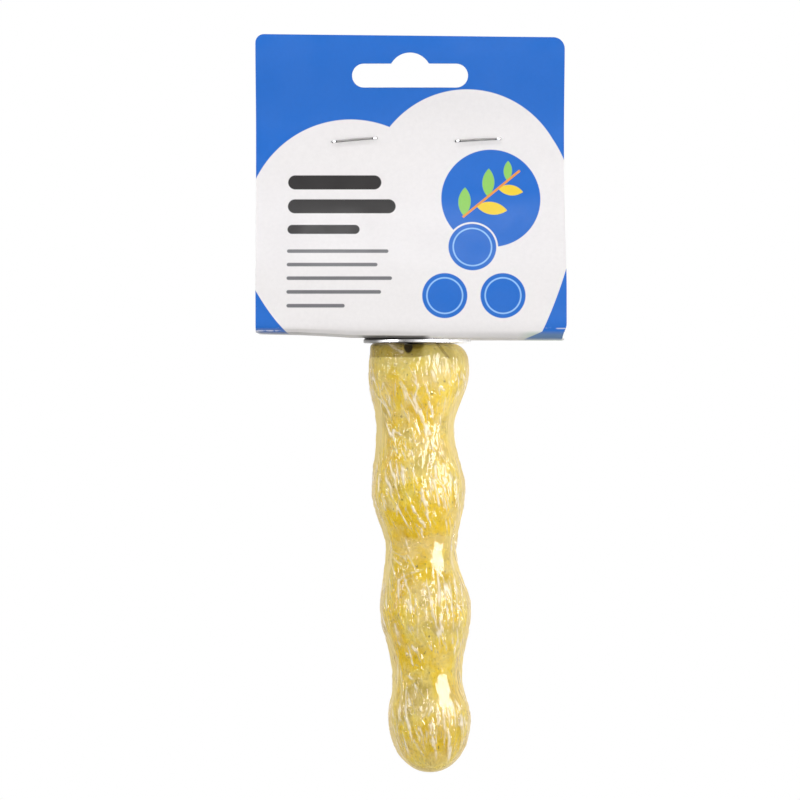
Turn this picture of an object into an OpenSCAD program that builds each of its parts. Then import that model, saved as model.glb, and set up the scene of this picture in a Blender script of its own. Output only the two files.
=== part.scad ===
// Cement bird perch on its retail card: a lumpy casting in clear shrink film hangs from a
// cast-in bolt, and a wing nut clamps a folded card between two washers.
// Millimetres. Origin on the bolt axis at the clamping plane, the upper face of the inner
// washer. +Z runs up the bolt, -Y faces the viewer of the card, +X is to the right.

/* [Casting] */
// Girth of each swelling, from the bolt end to the tip
swell_d = [27.3, 25.1, 24.5, 22.0]; // [18:0.1:34]
// Girth of each waist between two swellings
waist_d = [19.1, 17.1, 16.6]; // [14:0.1:30]
// Length from the top, or from the waist above, to each swelling
swell_drop = [7.4, 17.5, 16.5, 12.9]; // [6:0.1:30]
// Length from each swelling to the waist below it
waist_drop = [16.0, 17.0, 16.7]; // [8:0.1:30]
// Length of the rounded tip below the last swelling
tip_len = 15.1; // [8:0.1:30]
// Fullness of the tip, 2 is an ellipse
tip_power = 2.1; // [1.6:0.1:3]
// Sideways lean of each swelling from the bolt axis
swell_x = [0.4, 0.4, 2.4, 3.4]; // [-4:0.1:4]
// Sideways lean of each waist from the bolt axis
waist_x = [-0.6, 1.0, 2.7]; // [-4:0.1:4]
// Sideways lean of the tip
tip_x = 3.6; // [-4:0.1:4]
// How far the centre line sways towards and away from the viewer
sway = 0.5; // [0:0.1:2]
// Rounding of the top edge, mean value
shoulder_r = 4.0; // [2:0.1:6]
// How much the top edge's rounding differs between the left and the right
shoulder_skew = 1.0; // [0:0.1:1.5]
// Depth of the bark-like ridges
bark_depth = 0.7; // [0:0.05:1]

/* [Shrink film] */
// Thickness of the film
film_t = 0.15; // [0.1:0.05:0.4]
// Space between the film and the casting's highest ridges
film_gap = 0.15; // [0.1:0.05:0.5]
// How far the film stands off the casting where it bridges a waist
film_bridge = 0.9; // [0:0.1:2]
// Opening in the film round the bolt
film_hole_d = 12; // [8:0.5:18]

/* [Bolt and washers] */
// Thread diameter of the cast-in bolt
stud_d = 6; // [5:0.5:8]
// Height of the bolt's tip above the clamping plane
stud_h = 26; // [22:0.5:40]
// Length of shank that is cast in
stud_grip = 32; // [15:0.5:45]
// Width of the hexagon head across its flats
head_af = 10; // [8:0.5:13]
// Height of the hexagon head
head_h = 4; // [3:0.5:6]
// Chamfer on the bolt's tip
stud_chamfer = 0.7; // [0.3:0.1:1.2]
// Space between the cast-in bolt and the cement
cast_gap = 0.02; // [0.01:0.01:0.1]
// Outer diameter of both washers
washer_d = 30; // [20:0.5:36]
// Thickness of both washers
washer_t = 1.2; // [0.8:0.1:2]
// Radial clearance of the washers on the bolt
washer_gap = 0.2; // [0.1:0.05:0.5]
// Space between the film and the inner washer
seat_gap = 0.05; // [0.02:0.01:0.3]

/* [Wing nut] */
// Diameter of the hub at its foot
hub_d = 12; // [10:0.5:16]
// Diameter of the hub at its top
hub_top_d = 9.4; // [8.6:0.1:14]
// Height of the hub
hub_h = 8; // [5:0.5:12]
// Span over both wings
wing_span = 26; // [20:0.5:32]
// Height of the wings' tips above the nut's foot
wing_h = 14.5; // [10:0.5:18]
// Thickness of a wing
wing_t = 2.2; // [1.4:0.1:3]
// Radius of a wing's rounded end
wing_end_r = 3.6; // [2.5:0.1:4.5]
// Radial clearance of the nut on the thread
nut_gap = 0.05; // [0.02:0.01:0.1]

/* [Card] */
// Width of the folded card
card_w = 86; // [60:0.5:120]
// Thickness of the card sheet
card_t = 0.45; // [0.3:0.05:0.8]
// Card's middle, sideways from the bolt axis
card_x = -2; // [-8:0.5:8]
// Radius of the card's top corners
card_corner_r = 3.2; // [1:0.1:8]
// Drop of the card's top edge from its left end to its right end
card_skew = 0.9; // [-2:0.1:2]
// Space between the washers' rims and the card's side panels
tent_margin = 1.7; // [1:0.1:5]
// Height of the lower creases above the clamping plane
crease_h = 2.7; // [1.5:0.1:5]
// Depth below the wings' tips at which the side panels start to lean in
taper_below = 3; // [0:0.5:8]
// Height from the bolt's tip to the line where the panels meet
pinch_above = 25; // [16:0.5:50]
// Height from where the panels meet to the staples
staple_above = 4.5; // [2:0.5:12]
// Height from the staples to the card's top edge
head_above = 29.1; // [20:0.1:50]
// Forward lean of the card's top edge
head_lean = 5; // [0:0.5:10]
// Space between the two stapled layers
layer_gap = 0.1; // [0.05:0.05:0.5]
// Share of the way up the side panels that leans in slowly, 1 is an even curve
taper_ease = 0.8; // [0.5:0.05:1.2]
// Clearance of the card's hole round the bolt
card_hole_gap = 1; // [0.5:0.1:3]
// Length of the hanging slot
slot_w = 32.3; // [24:0.1:40]
// Height of the hanging slot
slot_h = 6.8; // [5:0.1:9]
// Rise of the slot's middle above its band
slot_rise = 3; // [1:0.1:4]
// Radius of the slot's raised middle
slot_rise_r = 6.1; // [4:0.1:9]
// Distance from the card's top edge to the slot's band
slot_below = 8.3; // [6:0.1:14]

/* [Staples] */
// Length of a staple's crown, outside to outside
crown_w = 12.9; // [8:0.1:16]
// Diameter of the staple wire
wire_d = 0.6; // [0.4:0.05:0.9]
// Length of each clinched leg end behind the card
clinch = 4; // [2:0.1:5.5]
// How far each clinched leg end springs back from the card
clinch_spring = 0.15; // [0:0.05:0.5]
// Radial clearance of the wire in the card's pin holes
pin_gap = 0.05; // [0.02:0.01:0.2]
// Left staple's middle, sideways from the bolt axis
staple_left_x = -17.5; // [-30:0.5:-9]
// Right staple's middle, sideways from the bolt axis
staple_right_x = 17; // [9:0.5:30]
// Slope of the left staple
staple_left_tilt = 4.9; // [-10:0.1:10]
// Slope of the right staple
staple_right_tilt = 2.9; // [-10:0.1:10]

/* [Hidden] */
$fn = 96;
sides = 36;          // corners of each ring round the casting and the film
body_rings = 26;     // rings from the shoulder to the last swelling
edge_rings = 4;      // rings over the top edge
tip_rings = 7;       // rings over the tip
panel_step = 2;      // longest step up a curved card panel
wire_sides = 8;      // corners of the staple wire
slack = 1;           // how far a cutter runs past the faces it cuts
sway_turn = 2.6;     // turn of the sway in degrees per mm of depth
tip_fade = 6;        // how late the ridges fade out over the tip
tip_end = 0.6;       // share of a tip ring's step that is left below the last ring
wing_slope = 35;     // slope of a wing's edges near its rounded end
wing_foot = 0.8;     // height of a wing's lower edge above the nut's foot
wing_sink = 0.5;     // how far a wing's corners lie inside the hub
wire_bend = 0.6;     // cut across a bend of the staple wire, in wire diameters

// Waves of the ridges: share of the depth, waves round the casting, degrees per mm of depth
ridge_waves = [[0.25, 7, 0], [0.15, 11, -2.5], [0.1, 4, 5]];
wander = 30;         // how far the first wave wanders sideways, in its own degrees
wander_turn = 3;     // turn of that wandering in degrees per mm of depth

stud_r = stud_d / 2;
washer_r = washer_d / 2;
film_off = film_gap + film_t;
film_top = -washer_t - seat_gap;
cast_top = film_top - film_off;

// Places and radii of the swellings, waists and tip, measured down from the casting's top
function sum(v, n, i = 0) = i >= n ? 0 : v[i] + sum(v, n, i + 1);
function swell_at(i) = sum(swell_drop, i + 1) + sum(waist_drop, i);
function waist_at(i) = swell_at(i) + waist_drop[i];
lumps = [for (i = [0:3]) each i < 3 ? [[swell_at(i), swell_d[i] / 2, swell_x[i], 0],
                                       [waist_at(i), waist_d[i] / 2, waist_x[i], film_bridge]]
                                    : [[swell_at(i), swell_d[i] / 2, swell_x[i], 0]]];
last_at = swell_at(3);
cast_len = last_at + tip_len;
edge_r_max = shoulder_r + shoulder_skew;

// Clamped stack and card, measured up from the clamping plane
stack_h = card_t + washer_t;
nut_top = stack_h + wing_h;
wing_clear = 1;      // least room between the turning wings and the card
flat_margin = 0.3;   // how far the card stays flat past the washers' rims
lean_above = 1;      // height above the staples at which the card starts to lean forward
tent_half = max(washer_r, wing_span / 2 + wing_clear) + tent_margin;
flat_half = tent_half - tent_margin + flat_margin;
taper_z = nut_top - taper_below;
pinch_z = stud_h + pinch_above;
layer_half = (card_t + layer_gap) / 2;
staple_z = pinch_z + staple_above;
card_top = staple_z + head_above;
lean_from = staple_z + lean_above;
lean_h = card_top - lean_from;
slot_top = card_top - slot_below;
reach = 2 * (tent_half + head_lean + slack);

// 0 below the start of a stretch, 1 past its end, and a smooth rise between
function rise(u) = u <= 0 ? 0 : u >= 1 ? 1 : (1 - cos(180 * u)) / 2;

function lump_index(s, i = 0) = i >= len(lumps) - 2 || s < lumps[i + 1][0] ? i : lump_index(s, i + 1);

// Value k (1 radius, 2 lean, 3 film bridge) at depth s, eased between swellings and waists
function along(s, k) =
    let (i = lump_index(s), a = lumps[i], b = lumps[i + 1])
    a[k] + (b[k] - a[k]) * rise((s - a[0]) / (b[0] - a[0]));

// Share of the tip's length at depth s
function tip_share(s) = max(0, min(1, (s - last_at) / tip_len));

function lean_at(s) = along(s, 2) + (tip_x - lumps[6][2]) * tip_share(s);

function sway_at(s) = sway * sin(sway_turn * s) * rise(s / swell_at(1));

function edge_r(a) = shoulder_r + shoulder_skew * cos(a);
function edge_cut(s, a) =
    let (r = edge_r(a), d = max(0, r - s))
    r - sqrt(max(0, r * r - d * d));

function smooth_r(s, a) = s <= last_at
    ? along(s, 1) - edge_cut(s, a)
    : lumps[6][1] * pow(max(0, 1 - pow(tip_share(s), tip_power)), 1 / tip_power);

// Ridges that run down the casting, 0 on a ridge and 1 in a groove
function wave(i, s, a) =
    let (w = ridge_waves[i])
    w[0] * (1 - sin(w[1] * a + w[2] * s + (i == 0 ? wander * sin(wander_turn * s) : 0)));
function groove(s, a) = wave(0, s, a) + wave(1, s, a) + wave(2, s, a);

function bark(s, a) =
    bark_depth * groove(s, a) * rise(s / edge_r_max) * (1 - pow(tip_share(s), tip_fade));

// Rings from the top edge down to just above the tip
ring_s = concat(
    [for (k = [0:edge_rings - 1]) edge_r_max * (1 - cos(90 * k / edge_rings))],
    [for (k = [0:body_rings]) edge_r_max + (last_at - edge_r_max) * k / body_rings],
    [for (k = [1:tip_rings]) last_at + tip_len * sin(90 * k / (tip_rings + tip_end))]);

// Height of a surface that lies off outside the casting, at depth s
function skin_z(s, off) =
    cast_top - s + off * (s < edge_r_max ? 1 - s / edge_r_max : -pow(tip_share(s), 2));

// A ring of the film, or of the casting with its ridges cut in
function ring_points(s, off, film) =
    [for (j = [0:sides - 1])
        let (a = 360 * j / sides, r = smooth_r(s, a) + off + (film ? along(s, 3) : -bark(s, a)))
        [lean_at(s) + r * cos(a), sway_at(s) + r * sin(a), skin_z(s, off)]];

function skin_rings(off, film) = [for (s = ring_s) each ring_points(s, off, film)];

function tip_point(off) = [tip_x, sway_at(cast_len), cast_top - cast_len - off];

function hole_points(off) =
    [for (j = [0:sides - 1]) [film_hole_d / 2 * cos(360 * j / sides), film_hole_d / 2 * sin(360 * j / sides),
                              cast_top + off]];

// Triangles between ring i and ring i + 1, from point index first on
function band(first, i) =
    [for (j = [0:sides - 1])
        let (n = (j + 1) % sides, u = first + i * sides, v = u + sides)
        each [[u + j, u + n, v + n], [u + j, v + n, v + j]]];

function flipped(faces) = [for (f = faces) [f[0], f[2], f[1]]];

// Solid loft of the casting without its bolt
module casting_blank() {
    rings = len(ring_s);
    points = concat(skin_rings(0, false), [[0, 0, cast_top], tip_point(0)]);
    top = rings * sides;
    tip = top + 1;
    last = (rings - 1) * sides;
    faces = concat(
        [for (j = [0:sides - 1]) [top, (j + 1) % sides, j]],
        [for (i = [0:rings - 2]) each band(0, i)],
        [for (j = [0:sides - 1]) [last + j, last + (j + 1) % sides, tip]]);
    polyhedron(points, faces);
}

// Bolt grown by a clearance, from its cast-in head up to tip_z
module bolt_solid(grow, tip_z, chamfer) {
    r = stud_r + grow;
    head_top = cast_top - stud_grip;
    foot = head_top - head_h / 2;
    rotate_extrude() polygon([[0, foot], [r, foot], [r, tip_z - chamfer], [r - chamfer, tip_z], [0, tip_z]]);
    translate([0, 0, head_top - head_h - grow])
        cylinder(d = (head_af + 2 * grow) / cos(30), h = head_h + 2 * grow, $fn = 6);
}

module perch_casting() {
    color("#E2C988") difference() {
        casting_blank();
        bolt_solid(cast_gap, cast_top + slack, 0);
    }
}

module mounting_bolt() {
    color("#B9BCC0") bolt_solid(0, stud_h, stud_chamfer);
}

// Closed thin skin round the casting, open round the bolt
module shrink_film() {
    rings = len(ring_s) + 1;
    outer = concat(hole_points(film_off), skin_rings(film_off, true), [tip_point(film_off)]);
    inner = concat(hole_points(film_gap), skin_rings(film_gap, true), [tip_point(film_gap)]);
    start = len(outer);
    last = (rings - 1) * sides;
    tip = rings * sides;
    wall = concat(
        [for (i = [0:rings - 2]) each band(0, i)],
        [for (j = [0:sides - 1]) [last + j, last + (j + 1) % sides, tip]]);
    lining = [for (f = flipped(wall)) [f[0] + start, f[1] + start, f[2] + start]];
    rim = [for (j = [0:sides - 1])
        let (n = (j + 1) % sides)
        each [[j, start + n, n], [j, start + j, start + n]]];
    color("#F4ECD2", 0.35) polyhedron(concat(outer, inner), concat(wall, lining, rim));
}

module washer(z) {
    translate([0, 0, z]) difference() {
        cylinder(r = washer_r, h = washer_t);
        translate([0, 0, -slack]) cylinder(r = stud_r + washer_gap, h = washer_t + 2 * slack);
    }
}

module inner_washer() {
    color("#C9CBCE") washer(-washer_t);
}

module outer_washer() {
    color("#C9CBCE") washer(card_t);
}

// One wing, seen flat, from the hub out to its rounded end
module wing_outline() {
    end_x = wing_span / 2 - wing_end_r;
    end_z = wing_h - wing_end_r;
    across = wing_end_r * cos(wing_slope);
    up = wing_end_r * sin(wing_slope);
    root_z = hub_h - wing_sink;
    polygon([[0, wing_foot], [hub_d / 2 - wing_sink, wing_foot], [end_x + across, end_z - up],
             [end_x - across, end_z + up], [hub_top_d / 2 - wing_sink, root_z], [0, root_z]]);
    translate([end_x, end_z]) circle(r = wing_end_r);
}

module wing_nut() {
    color("#C3C6CA") translate([0, 0, stack_h]) difference() {
        union() {
            cylinder(r1 = hub_d / 2, r2 = hub_top_d / 2, h = hub_h);
            for (side = [0, 180]) rotate([0, 0, side]) rotate([90, 0, 0])
                translate([0, 0, -wing_t / 2]) linear_extrude(wing_t) wing_outline();
        }
        translate([0, 0, -slack]) cylinder(r = stud_r + nut_gap, h = wing_h + 2 * slack);
    }
}

// Half the distance between the middles of the two card layers at height z
function panel_half(z) =
    let (u = max(0, (z - taper_z) / (pinch_z - taper_z)))
    tent_half - (tent_half - layer_half) * rise(pow(u, taper_ease));

function card_lean(z) = head_lean * rise((z - lean_from) / lean_h);

// Heights of the corners of a side panel: straight stretches have none between their ends
taper_steps = ceil((pinch_z - taper_z) / panel_step);
lean_steps = ceil(lean_h / panel_step);
panel_z = concat(
    [crease_h],
    [for (i = [0:taper_steps]) taper_z + (pinch_z - taper_z) * i / taper_steps],
    [for (i = [0:lean_steps]) lean_from + lean_h * i / lean_steps]);

// Middle line of the sheet, from the front layer's top round the base to the back layer's top
sheet_line = concat(
    [for (i = [len(panel_z) - 1:-1:0]) [-panel_half(panel_z[i]) - card_lean(panel_z[i]), panel_z[i]]],
    [[-flat_half, card_t / 2], [flat_half, card_t / 2]],
    [for (z = panel_z) [panel_half(z) - card_lean(z), z]]);

function unit(v) = v / norm(v);
function left_of(v) = [-v[1], v[0]];

// Offset of a corner of the line, mitred so that the sheet keeps its thickness
function mitre(line, i) =
    let (n = len(line) - 1,
         before = unit(line[max(i, 1)] - line[max(i, 1) - 1]),
         after = unit(line[min(i + 1, n)] - line[min(i + 1, n) - 1]),
         m = unit(left_of(before + after)))
    m / (m * left_of(before));

module sheet_outline() {
    n = len(sheet_line) - 1;
    polygon(concat(
        [for (i = [0:n]) sheet_line[i] + mitre(sheet_line, i) * card_t / 2],
        [for (i = [n:-1:0]) sheet_line[i] - mitre(sheet_line, i) * card_t / 2]));
}

// Front view of the card, cut with rounded top corners
module card_blank() {
    r = card_corner_r;
    difference() {
        polygon([[-card_w / 2, -slack], [card_w / 2, -slack],
                 [card_w / 2, card_top - card_skew], [-card_w / 2, card_top]]);
        for (side = [-1, 1])
            translate([side * (card_w / 2 - r), card_top - (side + 1) / 2 * card_skew - r]) difference() {
                translate([side > 0 ? 0 : -2 * r, 0]) square([2 * r, 2 * r]);
                circle(r = r);
            }
    }
}

module slot_outline() {
    band_mid = slot_top - slot_h / 2;
    square_w = slot_w - slot_h;
    translate([-square_w / 2, slot_top - slot_h]) square([square_w, slot_h]);
    for (side = [-1, 1]) translate([side * square_w / 2, band_mid]) circle(d = slot_h);
    intersection() {
        translate([0, slot_top + slot_rise - slot_rise_r]) circle(r = slot_rise_r);
        translate([-slot_rise_r, band_mid]) square([2 * slot_rise_r, slot_h]);
    }
}

module staple_holes(x, tilt) {
    for (side = [-1, 1])
        translate([x, 0, staple_z]) rotate([0, -tilt, 0]) translate([side * (crown_w - wire_d) / 2, 0, 0])
            rotate([90, 0, 0]) translate([0, 0, -reach / 2]) cylinder(d = wire_d + 2 * pin_gap, h = reach);
}

module header_card() {
    color("#F0ECEC") difference() {
        intersection() {
            translate([card_x - card_w / 2 - slack, 0, 0]) rotate([90, 0, 90])
                linear_extrude(card_w + 2 * slack) sheet_outline();
            translate([card_x, reach / 2, 0]) rotate([90, 0, 0]) linear_extrude(reach) card_blank();
        }
        translate([card_x, reach / 2, 0]) rotate([90, 0, 0]) linear_extrude(reach) slot_outline();
        translate([0, 0, -slack]) cylinder(r = stud_r + card_hole_gap, h = card_t + 2 * slack);
        staple_holes(staple_left_x, staple_left_tilt);
        staple_holes(staple_right_x, staple_right_tilt);
    }
}

// Wire along a line of points that lie in the XY plane
module wire(line) {
    n = len(line);
    corners = [for (i = [0:n - 1], k = [0:wire_sides - 1])
        let (m = mitre(line, i), a = 360 * (k + 0.5) / wire_sides, r = wire_d / 2)
        [line[i][0] + m[0] * r * cos(a), line[i][1] + m[1] * r * cos(a), r * sin(a)]];
    skin = [for (i = [0:n - 2], k = [0:wire_sides - 1])
        let (p = i * wire_sides, q = p + wire_sides, l = (k + 1) % wire_sides)
        each [[p + k, q + k, q + l], [p + k, q + l, p + l]]];
    ends = [[for (k = [0:wire_sides - 1]) k],
            [for (k = [wire_sides - 1:-1:0]) (n - 1) * wire_sides + k]];
    polyhedron(corners, concat(skin, ends));
}

// Staple whose crown lies on the front layer, with its legs turned in behind the back layer
module staple(x, tilt) {
    half = (crown_w - wire_d) / 2;
    front = -layer_half - card_t / 2 - wire_d / 2 - pin_gap;
    back = layer_half + card_t / 2 + wire_d / 2 + pin_gap;
    bend = wire_d * wire_bend;
    end_y = back + clinch_spring;
    line = [[half - clinch, end_y], [half - bend, back], [half, back - bend], [half, front + bend],
            [half - bend, front], [bend - half, front], [-half, front + bend], [-half, back - bend],
            [bend - half, back], [clinch - half, end_y]];
    color("#A9ACB0") translate([x, 0, staple_z]) rotate([0, -tilt, 0]) wire(line);
}

module staple_left() {
    staple(staple_left_x, staple_left_tilt);
}

module staple_right() {
    staple(staple_right_x, staple_right_tilt);
}

perch_casting();
mounting_bolt();
shrink_film();
inner_washer();
outer_washer();
wing_nut();
header_card();
staple_left();
staple_right();
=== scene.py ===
"""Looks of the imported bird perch: a lumpy cement casting in crinkled clear film, held by its
cast-in bolt, two washers and a wing nut in a folded, stapled retail card.
Shapes are worked out in millimetres in the frame's axes and turned into metres in the meshes.
Materials read the place on the object, which is the place in the frame at rest."""

from math import asin, cos, degrees, pi, radians, sin, tan

import bpy
import numpy as np
from mathutils import Matrix, Vector
from mathutils.geometry import delaunay_2d_cdt


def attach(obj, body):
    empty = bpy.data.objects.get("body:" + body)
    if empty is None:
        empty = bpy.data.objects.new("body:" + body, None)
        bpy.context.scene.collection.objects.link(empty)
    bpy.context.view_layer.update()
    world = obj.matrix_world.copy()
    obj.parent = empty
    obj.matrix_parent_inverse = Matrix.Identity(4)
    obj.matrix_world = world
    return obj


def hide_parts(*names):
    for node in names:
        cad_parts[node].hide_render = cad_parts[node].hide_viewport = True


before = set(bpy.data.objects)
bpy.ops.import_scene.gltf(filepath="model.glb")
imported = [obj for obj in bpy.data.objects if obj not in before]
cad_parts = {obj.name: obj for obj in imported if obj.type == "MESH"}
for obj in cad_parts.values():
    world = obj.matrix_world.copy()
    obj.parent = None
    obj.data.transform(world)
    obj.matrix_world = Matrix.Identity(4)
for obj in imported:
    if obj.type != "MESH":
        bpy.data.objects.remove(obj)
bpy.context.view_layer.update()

MM = 0.001
SCENE = bpy.context.scene
FRONT = -np.pi / 2  # angle round the casting that faces the camera

# Sizes that the CAD model has too, in millimetres
CAST_TOP = -1.55
LAST_AT = 104.0
TIP_LEN = 15.1
CAST_LEN = LAST_AT + TIP_LEN
TIP_X = 3.6
TIP_POWER = 2.1
SHOULDER_R, SHOULDER_SKEW = 4.0, 1.0
SHOULDER_TOP = SHOULDER_R + SHOULDER_SKEW
BARK_DEPTH = 0.7
FILM_OFF, FILM_INNER, FILM_BRIDGE = 0.3, 0.08, 0.9
FILM_HOLE_R = 6.0
STUD_R, STUD_H, STUD_GRIP = 3.0, 26.0, 32.0
HEAD_AF, HEAD_H = 10.0, 4.0
HEAD_R = HEAD_AF / 2 / cos(radians(30))
WASHER_R, WASHER_T, WASHER_HOLE_R = 15.0, 1.2, 3.2
CARD_T = 0.45
CARD_LEFT, CARD_RIGHT = -45.0, 41.0
CARD_TOP, CARD_SKEW, CORNER_R = 84.6, 0.9, 3.2
CREASE_H, TENT_HALF, FLAT_HALF = 2.7, 16.7, 15.3
TAPER_Z, PINCH_Z, LAYER_HALF, TAPER_EASE = 13.15, 51.0, 0.275, 0.8
LEAN_FROM, LEAN = 56.5, 5.0
STAPLE_Z = 55.5
STAPLES = {"staple_left": (-17.5, 4.9), "staple_right": (17.0, 2.9)}
CROWN_W, WIRE_D, CLINCH = 12.9, 0.6, 4.0
PIN_X = (CROWN_W - WIRE_D) / 2
SLOT_W, SLOT_RISE, SLOT_RISE_R = 32.3, 3.0, 6.1

# Sizes of the looks alone: the slot as it shows, and fine details
SLOT_H, SLOT_TOP = 6.5, 76.5
LEFT_CORNER_R = 0.75 * CORNER_R
LEFT_EDGE, LEFT_CUT = 1.8, 0.4  # how much sharper the shoulder is on its left
CHIP_X, CHIP_S = -1.4, 0.6  # the hollow in the top edge
THREAD_PITCH, THREAD_DEPTH, THREAD_GAP, BOLT_CHAMFER_R = 1.0, 0.56, 0.04, 2.3
PIN_HOLE_R, BASE_HOLE_R = 0.36, 4.0
GRID_X, GRID_T, GRID_GAP = 0.9, 0.62, 0.32  # the card's mesh

# Depth below the casting's top, casting radius, sideways lean, film bridge
LUMPS = np.array([
    [7.4, 13.65, 0.4, 0.0],
    [23.4, 9.55, -0.6, FILM_BRIDGE],
    [40.9, 12.55, 0.4, 0.0],
    [57.9, 8.55, 1.0, FILM_BRIDGE],
    [74.4, 12.25, 2.4, 0.0],
    [91.1, 8.3, 2.7, FILM_BRIDGE],
    [104.0, 11.0, 3.4, 0.0],
])
LEAN_COLUMN, BRIDGE_COLUMN = 2, 3


def rise(u):
    """An eased step from 0 at u = 0 to 1 at u = 1."""
    return (1 - np.cos(np.pi * np.clip(u, 0, 1))) / 2


def wrapped(a):
    return (a + np.pi) % (2 * np.pi) - np.pi


def along(s, k):
    i = np.clip(np.searchsorted(LUMPS[:, 0], s, side="right") - 1, 0, len(LUMPS) - 2)
    low, high = LUMPS[i], LUMPS[i + 1]
    share = rise((s - low[..., 0]) / (high[..., 0] - low[..., 0]))
    return low[..., k] + (high[..., k] - low[..., k]) * share


def bridge(s):
    """How far the film stands off the casting's profile at depth s."""
    return along(s, BRIDGE_COLUMN)


def tip_share(s):
    return np.clip((s - LAST_AT) / TIP_LEN, 0, 1)


def lean_at(s):
    return along(s, LEAN_COLUMN) + (TIP_X - LUMPS[-1, LEAN_COLUMN]) * tip_share(s)


def sway_at(s):
    return 0.5 * np.sin(np.radians(2.6 * s)) * rise(s / 40.9)


TIP = (TIP_X, float(sway_at(CAST_LEN)), CAST_TOP - CAST_LEN)


def smooth_r(s, a):
    """Casting radius without its relief, at depth s below its top and angle a."""
    left = np.maximum(0, -np.cos(a))
    edge = SHOULDER_R + SHOULDER_SKEW * np.cos(a) - LEFT_EDGE * left ** 3
    cut = edge - np.sqrt(np.maximum(0, edge ** 2 - np.maximum(0, edge - s) ** 2))
    cut = cut + LEFT_CUT * left ** 2 * (1 - rise((s - 2) / 3.5))
    tip = LUMPS[-1, 1] * np.maximum(0, 1 - tip_share(s) ** TIP_POWER) ** (1 / TIP_POWER)
    return np.where(s <= LAST_AT, along(s, 1) - cut, tip)


def groove(s, a):
    """The bark's grooves, from 0 to 1."""
    return (0.5 - 0.25 * np.sin(7 * a + np.radians(30) * np.sin(np.radians(3 * s)))
            - 0.15 * np.sin(11 * a - np.radians(2.5 * s)) - 0.1 * np.sin(4 * a + np.radians(5 * s)))


def chip(x, s, a, depth, wide, long):
    """Depth of the hollow in the front of the casting's top edge."""
    hollow = depth * np.exp(-((x - CHIP_X) / wide) ** 2 - ((s - CHIP_S) / long) ** 2)
    return np.where(np.sin(a) < 0, hollow, 0)


def hashed(ix, iy, iz, seed):
    h = (ix * 374761393 + iy * 668265263 + iz * 1103515245 + seed * 974711) & 0x7FFFFFFF
    h = ((h ^ (h >> 13)) * 1274126177) & 0x7FFFFFFF
    return ((h ^ (h >> 16)) & 0xFFFF) / 65535.0


def value_noise(p, seed):
    """Smooth noise from 0 to 1 at points p, one cell per unit."""
    cell = np.floor(p).astype(np.int64)
    f = p - cell
    f = f * f * (3 - 2 * f)
    total = 0.0
    for dx in (0, 1):
        for dy in (0, 1):
            for dz in (0, 1):
                w = (np.abs(1 - dx - f[..., 0]) * np.abs(1 - dy - f[..., 1])
                     * np.abs(1 - dz - f[..., 2]))
                total = total + w * hashed(cell[..., 0] + dx, cell[..., 1] + dy,
                                           cell[..., 2] + dz, seed)
    return total


def smooth_shaded(mesh):
    mesh.polygons.foreach_set("use_smooth", np.ones(len(mesh.polygons), bool))


def shown(name, data, body=None, nodes=()):
    """An object in the scene. With a body it is a piece of the part and replaces CAD nodes."""
    obj = bpy.data.objects.new(name, data)
    SCENE.collection.objects.link(obj)
    if body:
        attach(obj, body)
        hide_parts(*nodes)
    return obj


def add_piece(name, points, faces, materials, body, nodes, pick=None, sharp=None):
    mesh = bpy.data.meshes.new(name)
    mesh.from_pydata((np.asarray(points, float) * MM).tolist(), [], faces)
    for m in materials:
        mesh.materials.append(m)
    if pick is not None:
        mesh.polygons.foreach_set("material_index", np.asarray(pick, np.int32))
    smooth_shaded(mesh)
    mesh.update()
    if sharp is not None:
        mesh.set_sharp_from_angle(angle=radians(sharp))
    return shown(name, mesh, body, nodes)


def mark_points(obj, name, values):
    """Store a number for each point, for the materials."""
    store = obj.data.attributes.new(name, "FLOAT", "POINT")
    store.data.foreach_set("value", np.concatenate(values).astype(np.float32))


def ring_quads(rings, n, first=0):
    """Quads of a tube of rings, seen from outside when the rings run downwards."""
    u = first + np.arange(rings - 1)[:, None] * n
    j = np.arange(n)[None, :]
    k = (j + 1) % n
    return np.stack([u + j, u + n + j, u + n + k, u + k], -1).reshape(-1, 4).tolist()


def fan(pole, first, n, up):
    ring = [first + j for j in range(n)]
    turn = ring if up else ring[::-1]
    return [(pole, turn[j], turn[(j + 1) % n]) for j in range(n)]


def closed_tube(rings, n):
    """Faces of a tube of rings that run downwards, and of its top and bottom pole."""
    return (ring_quads(rings, n) + fan(rings * n, 0, n, True)
            + fan(rings * n + 1, (rings - 1) * n, n, False))


def staple_spots(reach):
    """Places in x and z at that reach to either side of each staple's middle."""
    for x, tilt in STAPLES.values():
        for dx in (-reach, reach):
            yield x + dx, STAPLE_Z + dx * tan(radians(tilt))


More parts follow.
